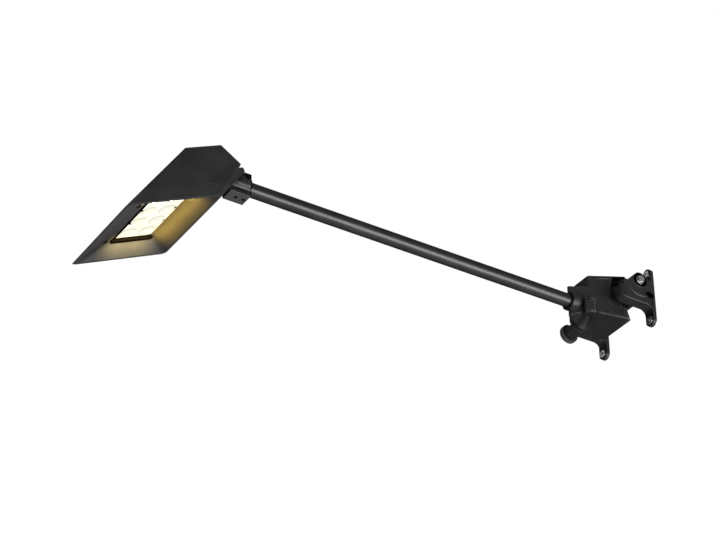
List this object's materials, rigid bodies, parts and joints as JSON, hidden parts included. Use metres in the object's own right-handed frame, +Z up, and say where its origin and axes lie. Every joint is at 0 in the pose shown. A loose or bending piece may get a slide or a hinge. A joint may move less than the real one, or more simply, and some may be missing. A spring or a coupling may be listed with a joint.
{
  "type": "outdoor display light",
  "caption": "Wall-mounted display light: wedge head with a flared mouth and a warm LED panel, on a knuckle at the end of a straight pipe arm, and a junction box that tilts in a wall bracket.",
  "frame": {"origin": "centre of the four screw feet on the wall plane", "axes": "-Y runs out from the wall along the arm, +Z is up, X is across the bracket"},
  "size_m": [0.2114, 1.1093, 0.27],
  "materials": {
    "black_casting": "fine textured powder coat on cast aluminium",
    "black_pipe": "satin powder coat on steel pipe",
    "zinc": "bright zinc plate",
    "black_rubber": "matt",
    "white_nylon": "matt",
    "brass_screw": "plain",
    "white_board": "white solder mask",
    "bare_aluminium": "bare",
    "lit_lens": "clear acrylic, lit from behind",
    "lit_chip": "lit phosphor"
  },
  "bodies": {
    "wall": {"wall_bracket": "black_casting", "foot_bushings": "zinc", "pivot_bolts": "zinc", "pivot_washers": "zinc", "friction_washers": "zinc", "pivot_nuts": "zinc", "wire_grommet": "black_rubber"},
    "arm": {"junction_box": "black_casting", "box_cover": "black_casting", "box_gasket": "black_rubber", "box_cover_screws": "zinc", "arm_pipe": "black_pipe", "pipe_set_screws": "zinc", "conduit_plug": "black_casting", "plug_seal": "black_rubber", "rear_grommet": "black_rubber", "terminal_block": "white_nylon", "terminal_screws": "brass_screw", "ground_screw": "brass_screw", "arm_lead": "black_rubber", "lead_clamp": "white_nylon"},
    "knuckle": {"knuckle_block": "black_casting", "knuckle_set_screws": "zinc"},
    "head": {"head_housing": "black_casting", "head_hinge_bolt": "zinc", "head_hinge_nut": "zinc", "head_hinge_washers": "zinc", "bezel_frame": "black_casting", "bezel_gasket": "black_rubber", "bezel_screws": "zinc", "lens_plate": "lit_lens", "lens_screws": "zinc", "led_board": "white_board", "led_chips": "lit_chip", "led_tray": "bare_aluminium", "tray_screws": "zinc", "led_driver": "bare_aluminium", "driver_screws": "zinc"}
  },
  "joints": [
    {"name": "arm_tilt", "type": "hinge", "parent": "wall", "child": "arm", "pos_m": [0, -0.034, 0.024], "axis": [1, 0, 0], "range_deg": [-30, 25]},
    {"name": "head_roll", "type": "hinge", "parent": "arm", "child": "knuckle", "pos_m": [0, -0.85, -0.013], "axis": [0, 1, 0], "range_deg": [-45, 45]},
    {"name": "head_tilt", "type": "hinge", "parent": "knuckle", "child": "head", "pos_m": [0, -0.893, -0.027], "axis": [1, 0, 0], "range_deg": [-60, 45]}
  ]
}
